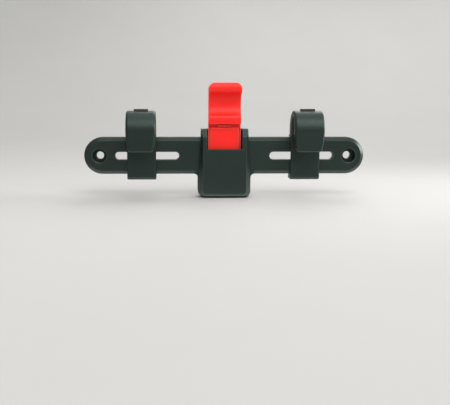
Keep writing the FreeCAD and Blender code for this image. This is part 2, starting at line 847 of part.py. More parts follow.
def build_hook(label, x):
    """A hook: a sleeve open at the rear, an arch and a tongue, in one moulding."""
    body = new_body(label)
    back = size("sleeve_back")
    band_back = rail_depth + size("sleeve_gap")
    shelf = sleeve_inside + size("sleeve_shelf")
    foot = -sleeve_inside - size("sleeve_foot")
    foot_round = size("sleeve_foot_round")
    roof = size("roof_height")
    arch = size("arch_height")
    tip = size("tongue_tip")
    profile = new_sketch(body, "profile_" + label, "YZ_Plane")
    draw_outline(
        profile,
        [
            (-back, foot),
            (-back, -sleeve_inside),
            (-band_back, -sleeve_inside),
            (-band_back, sleeve_inside),
            (-back, sleeve_inside),
            (-back, shelf),
            (-leg_back, shelf),
            (-leg_back, arch, (-arch_centre, arch), 1),
            (-arch_front, arch),
            (-arch_front, tip),
            (-mouth_front, tip),
            (-mouth_front, roof, (-roof_centre, roof), -1),
            (-mouth_back, roof),
            (-mouth_back, foot + foot_round, (-mouth_back + foot_round, foot + foot_round), 1),
            (-mouth_back + foot_round, foot),
        ],
    )
    add_pad(body, profile, size("hook_width"), symmetric=True)

    # Sides of the tongue, drawn in towards the tip and rounded into it
    half = size("hook_width") / 2
    corner = size("tongue_corner")
    sweep = size("tongue_sweep")
    over = size("cut_over")
    sweep_u = half - sweep
    corner_v = tip + corner
    reach = sweep - corner
    drop = arch - corner_v
    corner_u = sweep_u + root(reach * reach - drop * drop)
    touch_u = sweep_u + (corner_u - sweep_u) * sweep / reach
    touch_v = arch - drop * sweep / reach
    sides = new_sketch(body, "tongue_sides_" + label, "XZ_Plane", mouth_front - over)
    draw_outline(
        sides,
        [
            (half, arch, (sweep_u, arch), -1),
            (touch_u, touch_v, (corner_u, corner_v), -1),
            (corner_u, tip),
            (corner_u, tip - over),
            (half + over, tip - over),
            (half + over, arch),
        ],
    )
    side_cut = add_pocket(body, sides, size("tongue_thickness") + over * 2, forwards=True)
    add_mirror(body, [side_cut], "tongue_mirror_" + label)

    # Soft edges: wide round the outside of the arch and tongue, narrow round the mouth
    def is_on_outside(point):
        if near(point.y, -arch_front.value):
            return True
        if point.z < arch.value:
            return near(point.y, -leg_back.value) and point.z > shelf.value - SAME
        radius = math.hypot(point.y + arch_centre.value, point.z - arch.value)
        return near(radius, size("arch_radius").value)

    def is_on_inside(point):
        if near(point.y, -mouth_front.value) or near(point.y, -mouth_back.value):
            return True
        radius = math.hypot(point.y + roof_centre.value, point.z - roof.value)
        return point.z > roof.value and near(radius, roof_radius.value)

    add_edges(
        body,
        "Fillet",
        "outer_edges_" + label,
        lambda p, e: is_rim(p, e, is_on_outside, tip),
        size("hook_edge"),
    )
    add_edges(
        body,
        "Fillet",
        "mouth_edges_" + label,
        lambda p, e: is_rim(p, e, is_on_inside, tip),
        size("hook_inner_edge"),
    )

    # Key that runs in the slot of the rail
    key = new_sketch(body, "key_" + label, "XZ_Plane", key_back)
    draw_outline(
        key,
        stadium(as_size(0), size("key_length") / 2, size("slot_height") / 2 - size("key_gap")),
    )
    add_pad(body, key, band_back - key_back + size("sleeve_gap"))
    seat = new_sketch(body, "insert_seat_" + label, "XZ_Plane", key_back)
    draw_circle(seat, as_size(0), 0, size("insert_diameter"))
    add_pocket(body, seat, size("insert_length") + size("clamp_gap"), forwards=True)

    # Window through the crest for the liner's tab
    window = new_sketch(body, "crest_window_" + label, "XY_Plane", roof)
    gap = size("window_gap")
    tab_half = size("tab_width") / 2 + gap
    tab_back = -tab_centre + size("tab_depth") / 2 + gap
    tab_front = -tab_centre - size("tab_depth") / 2 - gap
    draw_outline(window, rectangle(-tab_half, tab_half, tab_front, tab_back))
    add_pocket(body, window, arch_crest, forwards=True)
    place(body, x=x)
    return body


def is_rim(middle, edge, is_on_face, tip):
    """Whether an edge lies whole on a face's surface and runs along its rim."""
    crosswise = abs(middle.x) < CLEAR and not near(middle.z, tip.value)
    ends = [vertex.Point for vertex in edge.Vertexes]
    return not crosswise and all(is_on_face(point) for point in ends + [middle])


def build_tube_insert(label, x):
    """A soft liner in the arch, held by a tab through the crest."""
    body = new_body(label)
    gap = size("liner_gap")
    roof = size("roof_height")
    outer = roof_radius - gap
    inner = roof_radius - size("liner_thickness")
    rear_low = roof - size("liner_rear_length")
    front_low = roof - size("liner_front_length")
    profile = new_sketch(body, "liner_" + label, "YZ_Plane")
    draw_outline(
        profile,
        [
            (-roof_centre + outer, rear_low),
            (-roof_centre + outer, roof, (-roof_centre, roof), 1),
            (-roof_centre - outer, roof),
            (-roof_centre - outer, front_low),
            (-roof_centre - inner, front_low + size("liner_thickness")),
            (-roof_centre - inner, roof, (-roof_centre, roof), -1),
            (-roof_centre + inner, roof),
            (-roof_centre + inner, rear_low + size("liner_thickness")),
        ],
    )
    add_pad(body, profile, size("hook_width") - size("liner_margin") * 2, symmetric=True)
    tab_low = roof + roof_radius - size("tab_root") + gap
    tab = new_sketch(body, "tab_" + label, "XY_Plane", tab_low)
    half = size("tab_width") / 2
    draw_outline(
        tab,
        rectangle(
            -half,
            half,
            -tab_centre - size("tab_depth") / 2,
            -tab_centre + size("tab_depth") / 2,
        ),
    )
    add_pad(body, tab, arch_crest + size("tab_proud") - tab_low)
    place(body, x=x)
    return body


def build_threaded_insert(label, x):
    """A brass insert in the hook's key, grooved to hold in the moulding."""
    body = new_body(label)
    outer = size("insert_diameter") / 2
    bore = size("clamp_screw") / 2 + size("clamp_gap")
    length = size("insert_length")
    waist = outer - size("insert_groove")
    section = new_sketch(body, "section_" + label, "XY_Plane")
    draw_outline(
        section,
        [
            (bore, -length),
            (outer, -length),
            (outer, -length * 2 / 3),
            (waist, -length * 2 / 3),
            (waist, -length / 3),
            (outer, -length / 3),
            (outer, as_size(0)),
            (bore, as_size(0)),
        ],
    )
    add_turn(body, section, "turn_" + label)
    place(body, x=x, depth=key_back)
    return body


def add_turn(body, section, name):
    """Turn a section once round the body's depth axis."""
    doc.recompute()
    turn = body.newObject("PartDesign::Revolution", name)
    turn.Profile = section
    turn.ReferenceAxis = (origin_feature(body, "Y_Axis"), [""])
    turn.Angle = 360
    doc.recompute()
    return turn


def build_clamp_plate(label, x):
    """A steel plate in the rear channel that pulls the hook against the rail."""
    body = new_body(label)
    plate = new_sketch(body, "plate_" + label, "XZ_Plane")
    half = size("plate_length") / 2
    rise = size("plate_height") / 2
    draw_outline(plate, rounded_rectangle(-half, half, -rise, rise, size("plate_corner")))
    draw_circle(plate, as_size(0), 0, size("clamp_screw") + size("clamp_gap") * 4)
    add_pad(body, plate, size("plate_thickness"))
    place(body, x=x, depth=plate_back())
    return body


def plate_back():
    """Depth of the rear side of the clamp plates."""
    return web_back - size("plate_gap") - size("plate_thickness")


def build_spring_washer(label, x):
    """A split washer between the screw head and the clamp plate."""
    body = new_body(label)
    ring = new_sketch(body, "ring_" + label, "XZ_Plane")
    draw_circle(ring, as_size(0), 0, size("washer_diameter"))
    draw_circle(ring, as_size(0), 0, size("clamp_screw") + size("clamp_gap") * 2)
    add_pad(body, ring, size("washer_thickness"))
    split = new_sketch(body, "split_" + label, "XZ_Plane")
    half = size("washer_slit") / 2
    draw_outline(split, rectangle(-half, half, half, size("washer_diameter")))
    add_pocket(body, split, size("washer_thickness"), forwards=True)
    place(body, x=x, depth=plate_back() - size("washer_thickness"))
    return body


def build_clamp_screw(label, x):
    """A pan-head screw with a hexagon socket, from the rear into the brass insert."""
    body = new_body(label)
    head_front = plate_back() - size("washer_thickness")
    head_back = head_front - size("clamp_head_height")
    round_off = size("clamp_head_height") / 3
    radius = size("clamp_screw") / 2
    head = size("clamp_head") / 2
    depth = size("clamp_head_height")
    end = key_back + size("clamp_reach") - head_back
    section = new_sketch(body, "section_" + label, "XY_Plane")
    draw_outline(
        section,
        [
            (0, as_size(0)),
            (0, -end),
            (radius - round_off / 2, -end),
            (radius, -end + round_off / 2),
            (radius, -depth),
            (head, -depth),
            (head, -round_off, (head - round_off, -round_off), 1),
            (head - round_off, as_size(0)),
        ],
    )
    add_turn(body, section, "turn_" + label)
    socket = new_sketch(body, "socket_" + label, "XZ_Plane")
    flat = size("clamp_socket") / 2
    point = flat / cosine(as_size(30))
    draw_outline(
        socket,
        [
            (point, as_size(0)),
            (point / 2, flat),
            (-point / 2, flat),
            (-point, as_size(0)),
            (-point / 2, -flat),
            (point / 2, -flat),
        ],
    )
    add_pocket(body, socket, size("clamp_socket_depth"), forwards=True)
    place(body, x=x, depth=head_back)
    return body


def build_all():
    """Build every piece and return the bodies."""
    bodies = [
        build_rail(),
        build_housing(),
        build_housing_screws(),
        build_latch(),
        build_spring("latch_spring_left", -1),
        build_spring("latch_spring_right", 1),
    ]
    left_x = -slot_centre - size("left_hook_shift")
    right_x = slot_centre + size("right_hook_shift")
    for side, x in (("left", left_x), ("right", right_x)):
        bodies.append(build_hook(side + "_hook", x))
        bodies.append(build_tube_insert(side + "_tube_insert", x))
        bodies.append(build_threaded_insert(side + "_threaded_insert", x))
        bodies.append(build_clamp_plate(side + "_clamp_plate", x))
        bodies.append(build_spring_washer(side + "_spring_washer", x))
        bodies.append(build_clamp_screw(side + "_clamp_screw", x))
    doc.recompute()
    return bodies


def check_all(bodies):
    """Stop if any object failed or any piece has no valid solid."""
    for item in doc.Objects:
        if "Invalid" in item.State or "Error" in item.State:
            raise RuntimeError("%s failed: %s" % (item.Name, item.State))
    for body in bodies:
        if body.Shape.isNull() or not body.Shape.isValid() or not body.Shape.Solids:
            raise RuntimeError("%s has no valid solid" % body.Label)


def write_all(bodies):
    """Write one file for each piece."""
    os.makedirs("parts", exist_ok=True)
    for body in bodies:
        body.Shape.exportStep("parts/%s.step" % body.Label)
        box = body.Shape.BoundBox
        print(
            "%-22s %8.2f mm3  x %7.2f..%7.2f  y %7.2f..%7.2f  z %7.2f..%7.2f  solids %d"
            % (
                body.Label,
                body.Shape.Volume,
                box.XMin,
                box.XMax,
                box.YMin,
                box.YMax,
                box.ZMin,
                box.ZMax,
                len(body.Shape.Solids),
            )
        )


pieces = build_all()
check_all(pieces)
write_all(pieces)
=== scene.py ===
"""Bike rack adapter: finishes, fine pieces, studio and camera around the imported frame.

The frame is in metres: +X along the rail, +Z up, and the front towards -Y. A depth is
measured from the rear face towards the front, so it is -Y.
"""

import logging
import math
from dataclasses import dataclass
from enum import Enum
from typing import Any, Iterable, Mapping, Sequence, Union

import bmesh
import bpy
from mathutils import Matrix, Vector


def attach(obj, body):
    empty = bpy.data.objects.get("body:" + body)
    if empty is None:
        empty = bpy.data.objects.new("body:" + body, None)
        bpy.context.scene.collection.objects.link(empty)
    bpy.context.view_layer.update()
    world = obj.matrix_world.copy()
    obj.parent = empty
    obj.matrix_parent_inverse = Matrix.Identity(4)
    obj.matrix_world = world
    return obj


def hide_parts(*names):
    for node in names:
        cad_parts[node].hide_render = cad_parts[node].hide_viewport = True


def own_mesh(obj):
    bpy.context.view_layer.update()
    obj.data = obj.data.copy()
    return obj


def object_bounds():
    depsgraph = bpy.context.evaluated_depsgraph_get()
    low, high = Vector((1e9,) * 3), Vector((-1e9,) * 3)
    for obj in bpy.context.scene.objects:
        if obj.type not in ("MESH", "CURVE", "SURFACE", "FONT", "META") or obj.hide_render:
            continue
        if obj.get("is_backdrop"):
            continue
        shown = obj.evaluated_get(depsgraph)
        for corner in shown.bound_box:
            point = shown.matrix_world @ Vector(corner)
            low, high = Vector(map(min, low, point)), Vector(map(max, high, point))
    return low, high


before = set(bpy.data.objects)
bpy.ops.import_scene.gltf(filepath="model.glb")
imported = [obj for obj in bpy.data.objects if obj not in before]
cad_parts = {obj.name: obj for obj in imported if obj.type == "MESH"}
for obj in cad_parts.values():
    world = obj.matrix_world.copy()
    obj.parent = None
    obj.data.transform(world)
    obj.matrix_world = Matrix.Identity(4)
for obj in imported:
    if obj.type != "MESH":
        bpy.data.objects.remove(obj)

LOG = logging.getLogger("adapter")
MM = 0.001
WELD = 0.0005 * MM
CUT_TOLERANCE = 0.001 * MM
NEAR = 0.01 * MM
FLAT_DEGREES = 0.2
FLOOR_GAP = 0.05 * MM
# Most values of a noise texture lie between these two
NOISE_LOW, NOISE_HIGH = 0.3, 0.7

Socket = bpy.types.NodeSocket
Setting = Union[Socket, float, Sequence[float]]


class Side(Enum):
    """Left or right of a pair, by the word in the names of its nodes."""

    LEFT = "left"
    RIGHT = "right"


class Drive(Enum):
    """Recess in a screw's head, by its number of sides."""

    SQUARE = 4
    HEXAGON = 6


class Slot(Enum):
    """Material slots of the record."""

    GREEN = "green_plastic"
    RED = "red_plastic"
    LINER = "black_liner"
    ZINC = "zinc_steel"
    SPRING = "spring_steel"
    BRASS = "brass"


def linear(colour: str) -> tuple[float, float, float, float]:
    """Turn an sRGB hex colour into linear light.

    Args:
        colour: six hex digits.

    Returns:
        Linear red, green and blue with an alpha of one.
    """
    parts = []
    for start in (0, 2, 4):
        value = int(colour[start : start + 2], 16) / 255
        parts.append(value / 12.92 if value <= 0.04045 else ((value + 0.055) / 1.055) ** 2.4)
    return (parts[0], parts[1], parts[2], 1.0)


def per_mm(size_mm: float) -> float:
    """Texture scale that makes one blotch of a real size."""
    return 1 / (size_mm * MM)


def add_node(
    tree: bpy.types.NodeTree,
    kind: str,
    inputs: Mapping[Union[str, int], Setting],
    **settings: Any,
) -> bpy.types.Node:
    """Add a shader node with its settings and links.

    Args:
        tree: the material's node tree.
        kind: the node's type name, without its common beginning.
        inputs: values for input sockets, or output sockets to link to them.
        settings: attributes of the node.

    Returns:
        The new node.
    """
    node = tree.nodes.new("ShaderNode" + kind)
    for key, value in settings.items():
        setattr(node, key, value)
    for key, value in inputs.items():
        if isinstance(value, Socket):
            tree.links.new(value, node.inputs[key])
        else:
            node.inputs[key].default_value = value
    return node


@dataclass(frozen=True)
class Finish:
    """A surface finish: a name, its slot and its main colour."""

    name: str
    slot: Slot
    colour: str

    def start(self) -> tuple[bpy.types.Material, bpy.types.Node, Socket]:
        """Open a material.

        Returns:
            The material, its surface shader and the Object coordinates.
        """
        material = bpy.data.materials.new(self.name)
        material.use_nodes = True
        material.diffuse_color = linear(self.colour)
        shader = material.node_tree.nodes["Principled BSDF"]
        place = add_node(material.node_tree, "TexCoord", {}).outputs["Object"]
        return material, shader, place

    def material(self) -> bpy.types.Material:
        """Build the material; each kind of finish has its own."""
        raise NotImplementedError(self.name)


@dataclass(frozen=True)
class MouldedPlastic(Finish):
    """Injection-moulded plastic: fine mould grain, slow flow shading and paler edges, partly rubbed
    wear and partly a painted edge highlight.

    The true grain is about 0.1 mm; it is drawn coarser so that it shows at all.
    """

    shade: str = "0E1412"
    # Paler colour on convex edges: partly rubbed wear, partly a painted edge highlight
    rubbed_and_highlight: str = "47584F"
    grain_mm: float = 0.7
    grain_depth_mm: float = 0.03
    grain_strength: float = 0.3
    flow_mm: float = 26.0
    scuff_mm: float = 3.2
    roughness: tuple[float, float] = (0.37, 0.47)
    edge_mm: float = 0.8
    wear_and_highlight_mm: float = 1.3
    wear_and_highlight_depth: tuple[float, float] = (0.92, 0.6)
    wear_and_highlight_share: float = 0.3
    sheen_level: float = 0.25
    sheen_tint: str = "DFFFF4"
    index: float = 1.53

    def material(self) -> bpy.types.Material:
        """Build the plastic.

        Returns:
            The material.
        """
        material, shader, place = self.start()
        tree = material.node_tree
        flow = add_node(
            tree, "TexNoise", {"Vector": place, "Scale": per_mm(self.flow_mm), "Detail": 3.0}
        )
        scuff = add_node(
            tree, "TexNoise", {"Vector": place, "Scale": per_mm(self.scuff_mm), "Detail": 4.0}
        )
        grain = add_node(
            tree, "TexNoise", {"Vector": place, "Scale": per_mm(self.grain_mm), "Detail": 2.0}
        )
        rounded = add_node(tree, "Bevel", {"Radius": self.edge_mm * MM}, samples=4)
        # Convex edges, found by occlusion inside the solid, get the paler edge colour: partly
        # rubbed wear, partly a painted edge highlight
        depth = add_node(
            tree,
            "AmbientOcclusion",
            {"Distance": self.wear_and_highlight_mm * MM},
            samples=8,
            inside=True,
            only_local=True,
        )
        wear_and_highlight = add_node(
            tree,
            "MapRange",
            {
                "Value": depth.outputs["AO"],
                "From Min": self.wear_and_highlight_depth[0],
                "From Max": self.wear_and_highlight_depth[1],
                "To Max": self.wear_and_highlight_share,
            },
        )
        share = add_node(
            tree,
            "MapRange",
            {"Value": flow.outputs["Fac"], "From Min": NOISE_LOW, "From Max": NOISE_HIGH},
        )
        tone = add_node(
            tree,
            "Mix",
            {0: share.outputs["Result"], 6: linear(self.shade), 7: linear(self.colour)},
            data_type="RGBA",
        )
        colour = add_node(
            tree,
            "Mix",
            {0: wear_and_highlight.outputs["Result"], 6: tone.outputs[2], 7: linear(self.rubbed_and_highlight)},
            data_type="RGBA",
        )
        matt = add_node(
            tree,
            "MapRange",
            {
                "Value": scuff.outputs["Fac"],
                "From Min": NOISE_LOW,
                "From Max": NOISE_HIGH,
                "To Min": self.roughness[0],
                "To Max": self.roughness[1],
            },
        )
        bump = add_node(
            tree,
            "Bump",
            {
                "Strength": self.grain_strength,
                "Distance": self.grain_depth_mm * MM,
                "Height": grain.outputs["Fac"],
                "Normal": rounded.outputs["Normal"],
            },
        )
        tree.links.new(colour.outputs[2], shader.inputs["Base Color"])
        tree.links.new(matt.outputs["Result"], shader.inputs["Roughness"])
        tree.links.new(bump.outputs["Normal"], shader.inputs["Normal"])
        shader.inputs["Specular IOR Level"].default_value = self.sheen_level
        shader.inputs["Specular Tint"].default_value = linear(self.sheen_tint)
        shader.inputs["IOR"].default_value = self.index
        return material


@dataclass(frozen=True)
class Rubber(Finish):
    """Moulded elastomer: matt, with a faint bloom and a pebbled skin.

    The true pebbles are about 0.2 mm; they are drawn coarser so that they show at all.
    """

    bloom: str = "2B2C2C"
    bloom_mm: float = 6.0
    bloom_range: tuple[float, float] = (0.45, 0.75)
    bloom_share: float = 0.7
    pebble_mm: float = 0.8
    pebble_depth_mm: float = 0.05
    pebble_strength: float = 0.5
    roughness: tuple[float, float] = (0.68, 0.86)

    def material(self) -> bpy.types.Material:
        """Build the elastomer.

        Returns:
            The material.
        """
        material, shader, place = self.start()
        tree = material.node_tree
        cloud = add_node(
            tree, "TexNoise", {"Vector": place, "Scale": per_mm(self.bloom_mm), "Detail": 4.0}
        )
        pebble = add_node(
            tree, "TexNoise", {"Vector": place, "Scale": per_mm(self.pebble_mm), "Detail": 1.0}
        )
        share = add_node(
            tree,
            "MapRange",
            {
                "Value": cloud.outputs["Fac"],
                "From Min": self.bloom_range[0],
                "From Max": self.bloom_range[1],
                "To Max": self.bloom_share,
            },
        )
        colour = add_node(
            tree,
            "Mix",
            {0: share.outputs["Result"], 6: linear(self.colour), 7: linear(self.bloom)},
            data_type="RGBA",
        )
        matt = add_node(
            tree,
            "MapRange",
            {
                "Value": cloud.outputs["Fac"],
                "To Min": self.roughness[0],
                "To Max": self.roughness[1],
            },
        )
        bump = add_node(
            tree,
            "Bump",
            {
                "Strength": self.pebble_strength,
                "Distance": self.pebble_depth_mm * MM,
                "Height": pebble.outputs["Fac"],
            },
        )
        tree.links.new(colour.outputs[2], shader.inputs["Base Color"])
        tree.links.new(matt.outputs["Result"], shader.inputs["Roughness"])
        tree.links.new(bump.outputs["Normal"], shader.inputs["Normal"])
        return material


@dataclass(frozen=True)
class Metal(Finish):
    """Bare or plated metal: fine drawing or turning lines and a mottled tint.

    The true lines are under 0.1 mm apart; they are drawn coarser so that they show at all.
    """

    tint: str = "B9B6A6"
    tint_range: tuple[float, float] = (0.35, 0.7)
    tint_share: float = 0.8
    line_mm: float = 0.35
    line_stretch: tuple[float, float, float] = (1.0, 0.08, 1.0)
    line_depth_mm: float = 0.02
    line_strength: float = 0.3
    mottle_mm: float = 2.4
    roughness: tuple[float, float] = (0.26, 0.46)

    def material(self) -> bpy.types.Material:
        """Build the metal.

        Returns:
            The material.
        """
        material, shader, place = self.start()
        tree = material.node_tree
        drawn = add_node(tree, "Mapping", {"Vector": place, "Scale": self.line_stretch})
        lines = add_node(
            tree,
            "TexNoise",
            {"Vector": drawn.outputs["Vector"], "Scale": per_mm(self.line_mm), "Detail": 2.0},
        )
        mottle = add_node(
            tree, "TexNoise", {"Vector": place, "Scale": per_mm(self.mottle_mm), "Detail": 3.0}
        )
        share = add_node(
            tree,
            "MapRange",
            {
                "Value": mottle.outputs["Fac"],
                "From Min": self.tint_range[0],
                "From Max": self.tint_range[1],
                "To Max": self.tint_share,
            },
        )
        colour = add_node(
            tree,
            "Mix",
            {0: share.outputs["Result"], 6: linear(self.colour), 7: linear(self.tint)},
            data_type="RGBA",
        )
        gloss = add_node(
            tree,
            "MapRange",
            {
                "Value": lines.outputs["Fac"],
                "From Min": NOISE_LOW,
                "From Max": NOISE_HIGH,
                "To Min": self.roughness[0],
                "To Max": self.roughness[1],
            },
        )
        bump = add_node(
            tree,
            "Bump",
            {
                "Strength": self.line_strength,
                "Distance": self.line_depth_mm * MM,
                "Height": lines.outputs["Fac"],
            },
        )
        tree.links.new(colour.outputs[2], shader.inputs["Base Color"])
        tree.links.new(gloss.outputs["Result"], shader.inputs["Roughness"])
        tree.links.new(bump.outputs["Normal"], shader.inputs["Normal"])
        shader.inputs["Metallic"].default_value = 1.0
        return material


@dataclass(frozen=True)
class StudioPaint:
    """Matt paint on the studio floor, with a trace of roller texture."""

    name: str = "studio_floor_paint"
    colour: str = "A09F9C"
    shade: str = "9B9A97"
    cloud_mm: float = 180.0
    roughness: float = 0.85

    def material(self) -> bpy.types.Material:
        """Build the paint.

        Returns:
            The material.
        """
        material = bpy.data.materials.new(self.name)
        material.use_nodes = True
        tree = material.node_tree
        shader = tree.nodes["Principled BSDF"]
        place = add_node(tree, "TexCoord", {}).outputs["Object"]
        cloud = add_node(
            tree, "TexNoise", {"Vector": place, "Scale": per_mm(self.cloud_mm), "Detail": 3.0}
        )
        colour = add_node(
            tree,
            "Mix",
            {0: cloud.outputs["Fac"], 6: linear(self.shade), 7: linear(self.colour)},
            data_type="RGBA",
        )
        tree.links.new(colour.outputs[2], shader.inputs["Base Color"])
        shader.inputs["Roughness"].default_value = self.roughness
        return material


# Glass-filled polyamide from a spark-eroded mould: matt, dark green-grey, paler on edges from wear
# and a painted edge highlight
GREEN = MouldedPlastic("polyamide_moulded_green", Slot.GREEN, "121916")
# Acetal from a polished mould: saturated red with a satin sheen
RED = MouldedPlastic(
    "acetal_moulded_red",
    Slot.RED,
    "E01F18",
    shade="D81B14",
    # Pink edges: partly rubbed wear, partly a painted edge highlight
    rubbed_and_highlight="FF7A70",
    grain_strength=0.12,
    roughness=(0.38, 0.48),
    sheen_level=0.22,
    sheen_tint="FFFFFF",
    index=1.48,
)
# Thermoplastic elastomer: near-black and matt
LINER = Rubber("elastomer_moulded_black", Slot.LINER, "191A1A")
# Zinc-plated steel: bright grey with a faint yellow tint
ZINC = Metal("steel_zinc_plated", Slot.ZINC, "C4C6C9")
# Drawn spring wire: darker, with lines along the wire
WIRE = Metal("spring_wire_drawn", Slot.SPRING, "9EA0A4", tint="7E7B74")
# Turned brass: warm yellow with fine rings from the tool
BRASS = Metal("brass_turned", Slot.BRASS, "D2AC5E", tint="B48A3E")


class Workshop:
    """Keeps one material for each finish and adds finished pieces to the scene."""

    def __init__(self) -> None:
        """Start with no material made."""
        self.made: dict[str, bpy.types.Material] = {}

    def material(self, finish: Finish) -> bpy.types.Material:
        """Give the material of a finish, made once.

        Args:
            finish: the finish.

        Returns:
            Its material.
        """
        if finish.name not in self.made:
            self.made[finish.name] = finish.material()
        return self.made[finish.name]

    def paint(self, node: str, finish: Finish) -> None:
        """Give a carried-over node its finish.

        Args:
            node: the node's name.
            finish: its finish.
        """
        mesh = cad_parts[node].data
        mesh.materials.clear()
        mesh.materials.append(self.material(finish))
        LOG.info("painted %s with %s", node, finish.name)

    def add(
        self,
        name: str,
        shape: bmesh.types.BMesh,
        finish: Finish,
        body: str,
        stands_for: Iterable[str] = (),
        smooth_degrees: float = 32.0,
    ) -> bpy.types.Object:
        """Turn a shape into a finished piece that rides on a body.

        Args:
            name: the piece's name.
            shape: its mesh, in place; it is freed.
            finish: its finish.
            body: the body that carries it.
            stands_for: nodes that it replaces.
            smooth_degrees: edges sharper than this stay sharp.

        Returns:
            The piece.
        """
        mesh = bpy.data.meshes.new(name)
        shape.to_mesh(mesh)
        shape.free()
        mesh.shade_smooth()
        mesh.set_sharp_from_angle(angle=math.radians(smooth_degrees))
        mesh.materials.clear()
        mesh.materials.append(self.material(finish))
        piece = bpy.data.objects.new(name, mesh)
        bpy.context.scene.collection.objects.link(piece)
        flats = piece.modifiers.new("flat_faces_stay_flat", "WEIGHTED_NORMAL")
        flats.keep_sharp = True
        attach(piece, body)
        nodes = list(stands_for)
        if nodes:
            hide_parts(*nodes)
        LOG.info("built %s: %d faces on %s", name, len(mesh.polygons), body)
        return piece


def merged_copy(node: str) -> bmesh.types.BMesh:
    """Copy a node's shape with its triangles joined and its flat faces whole.

    Args:
        node: the node's name.

    Returns:
        The joined shape.
    """
    shape = bmesh.new()
    shape.from_mesh(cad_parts[node].data)
    bmesh.ops.remove_doubles(shape, verts=shape.verts[:], dist=WELD)
    bmesh.ops.dissolve_limit(
        shape,
        angle_limit=math.radians(FLAT_DEGREES),
        verts=shape.verts[:],
        edges=shape.edges[:],
    )
    return shape


def soften(shape: bmesh.types.BMesh, offset_mm: float, sharp_degrees: float = 28.0) -> None:
    """Round the sharp outer edges of a moulding a little.

    Args:
        shape: the shape to change.
        offset_mm: width of the rounding.
        sharp_degrees: edges that turn less than this are left alone.
    """
    limit = math.radians(sharp_degrees)
    edges = [
        edge
        for edge in shape.edges
        if edge.is_manifold and edge.calc_face_angle_signed(0.0) > limit
    ]
    bmesh.ops.bevel(
        shape,
        geom=edges,
        offset=offset_mm * MM,
        offset_type="OFFSET",
        affect="EDGES",
        segments=2,
        profile=0.5,
        material=-1,
        clamp_overlap=True,
    )


def grow_band(
    shape: bmesh.types.BMesh, ring: list[bmesh.types.BMEdge]
) -> tuple[list[bmesh.types.BMVert], list[bmesh.types.BMEdge]]:
    """Grow a band of faces from an open ring, to be moved into place.

    Args:
        shape: the shape that holds the ring.
        ring: its edges.

    Returns:
        Vertices and edges of the band's new rim.
    """
    grown = bmesh.ops.extrude_edge_only(shape, edges=ring)["geom"]
    verts = [item for item in grown if isinstance(item, bmesh.types.BMVert)]
    rim = set(verts)
    return verts, [edge for edge in shape.edges if rim.issuperset(edge.verts)]


def close_ends(shape: bmesh.types.BMesh) -> None:
    """Fill the open ends of a swept shape and turn its faces outwards.

    Args:
        shape: the shape to close.
    """
    rims = [edge for edge in shape.edges if edge.is_boundary]
    bmesh.ops.holes_fill(shape, edges=rims, sides=0)
    bmesh.ops.recalc_face_normals(shape, faces=shape.faces[:])


def sweep_coil(
    shape: bmesh.types.BMesh,
    section: Sequence[bmesh.types.BMVert],
    centre: Vector,
    axis: Vector,
    rise: float,
    turns: float,
    steps_per_turn: int,
) -> list[bmesh.types.BMVert]:
    """Sweep a closed section round an axis while it climbs.

    Args:
        shape: the shape that holds the section.
        section: vertices of the section.
        centre: a point on the axis.
        axis: direction of the climb.
        rise: climb in all.
        turns: turns in all.
        steps_per_turn: divisions of one turn.

    Returns:
        Vertices of the section at the end.
    """
    corners = set(section)
    loop = [edge for edge in shape.edges if corners.issuperset(edge.verts)]
    steps = round(turns * steps_per_turn)
    swept = bmesh.ops.spin(
        shape,
        geom=list(section) + loop,
        cent=centre,
        axis=axis,
        dvec=axis * (rise / steps),
        angle=2 * math.pi * turns,
        steps=steps,
        use_merge=False,
    )
    return [item for item in swept["geom_last"] if isinstance(item, bmesh.types.BMVert)]


